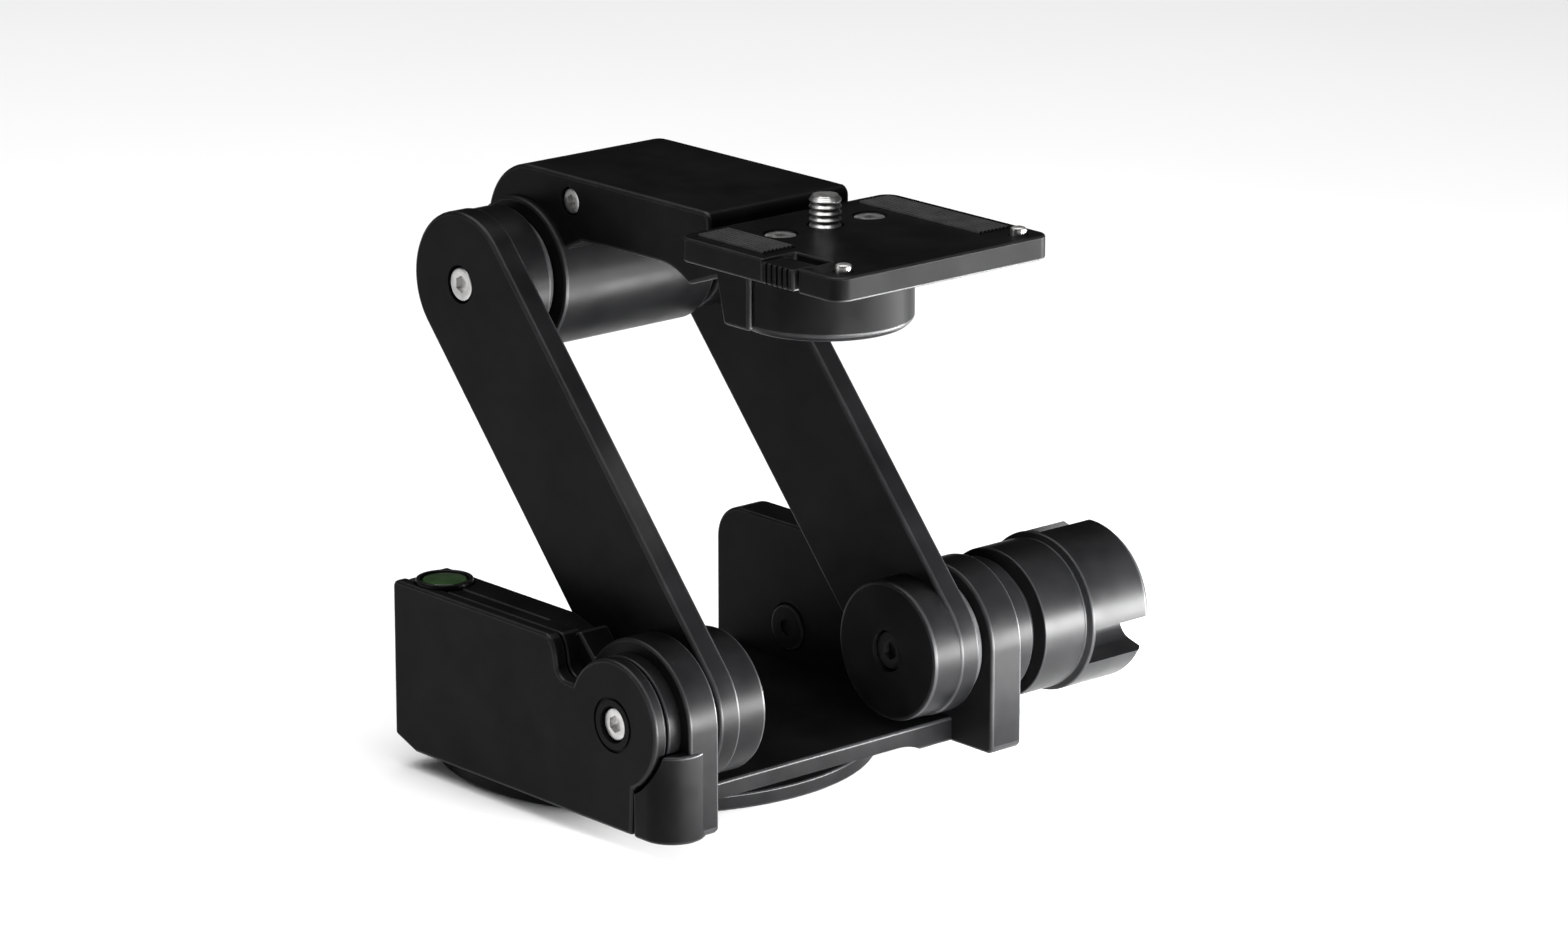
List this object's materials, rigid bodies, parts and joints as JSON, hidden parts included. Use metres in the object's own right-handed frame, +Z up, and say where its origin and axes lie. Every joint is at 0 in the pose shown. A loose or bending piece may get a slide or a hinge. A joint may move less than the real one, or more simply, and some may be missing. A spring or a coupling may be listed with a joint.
{
  "type": "camera tilt head",
  "caption": "Folding camera tilt head: U-shaped panning base, parallel arms on friction pivots, upper link with camera plate and thumb screw, side friction knob.",
  "frame": {"origin": "middle of the footprint at the level of the underside", "axes": "+X along the tilt axes towards the friction knob, +Y towards the rear, +Z up"},
  "size_m": [0.1296, 0.1288, 0.1235],
  "materials": {
    "black_anodised": "black satin anodised",
    "dark_cover": "black satin anodised",
    "bright_steel": "turned, bright",
    "black_oxide": "black oxide",
    "bearing_bronze": "turned",
    "black_rubber": "matte",
    "friction_polymer": "matte",
    "level_vial": "clear dark green"
  },
  "bodies": {
    "tripod": {"pan_disc": "black_anodised", "tripod_bush": "bright_steel", "grip_ring": "black_rubber"},
    "base": {"base_casting": "black_anodised", "left_cover": "dark_cover", "level_bezel": "bright_steel", "level_vial": "level_vial", "pan_cap": "bright_steel", "wall_plug": "dark_cover", "left_bush": "bearing_bronze", "right_bush": "bearing_bronze", "left_washer": "friction_polymer", "right_washer": "friction_polymer", "knob_collar": "black_anodised"},
    "arms": {"left_arm": "black_anodised", "right_arm": "black_anodised", "left_upper_screw": "bright_steel", "right_upper_screw": "bright_steel", "left_upper_washer": "friction_polymer", "right_upper_washer": "friction_polymer", "upper_axle": "bright_steel", "left_pivot_bolt": "bright_steel", "right_pivot_stud": "black_oxide"},
    "link": {"upper_link": "black_anodised", "left_barrel_bush": "bearing_bronze", "right_barrel_bush": "bearing_bronze", "tension_screw": "bright_steel", "top_plate": "black_anodised", "left_grip_pad": "black_rubber", "right_grip_pad": "black_rubber", "left_index_pin": "bright_steel", "right_index_pin": "bright_steel", "left_plate_screw": "bright_steel", "right_plate_screw": "bright_steel"},
    "camera_screw": {"camera_screw": "bright_steel"},
    "lock_button": {"lock_button": "dark_cover"},
    "knob": {"friction_knob": "black_anodised", "knob_cap": "dark_cover"}
  },
  "joints": [
    {"name": "pan", "type": "hinge", "parent": "tripod", "child": "base", "pos_m": [-0.01755, 0.0194, 0.0038], "axis": [0, 0, 1], "continuous": true},
    {"name": "arm_tilt", "type": "hinge", "parent": "base", "child": "arms", "pos_m": [-0.01555, -0.0236, 0.025], "axis": [1, 0, 0], "range_deg": [-45, 60]},
    {"name": "link_tilt", "type": "hinge", "parent": "arms", "child": "link", "pos_m": [-0.01555, 0.04087, 0.09787], "axis": [1, 0, 0], "range_deg": [-90, 42]},
    {"name": "knob_turn", "type": "hinge", "parent": "base", "child": "knob", "pos_m": [0.03375, -0.0236, 0.025], "axis": [1, 0, 0], "range_deg": [-180, 180]},
    {"name": "screw_turn", "type": "hinge", "parent": "link", "child": "camera_screw", "pos_m": [-0.01555, -0.0298, 0.0982], "axis": [0, 0, 1], "continuous": true},
    {"name": "lock_press", "type": "slide", "parent": "link", "child": "lock_button", "axis": [1, 0, 0], "range_m": [0, 0.002], "stiffness_N_per_m": 300, "springref_m": -0.001}
  ]
}
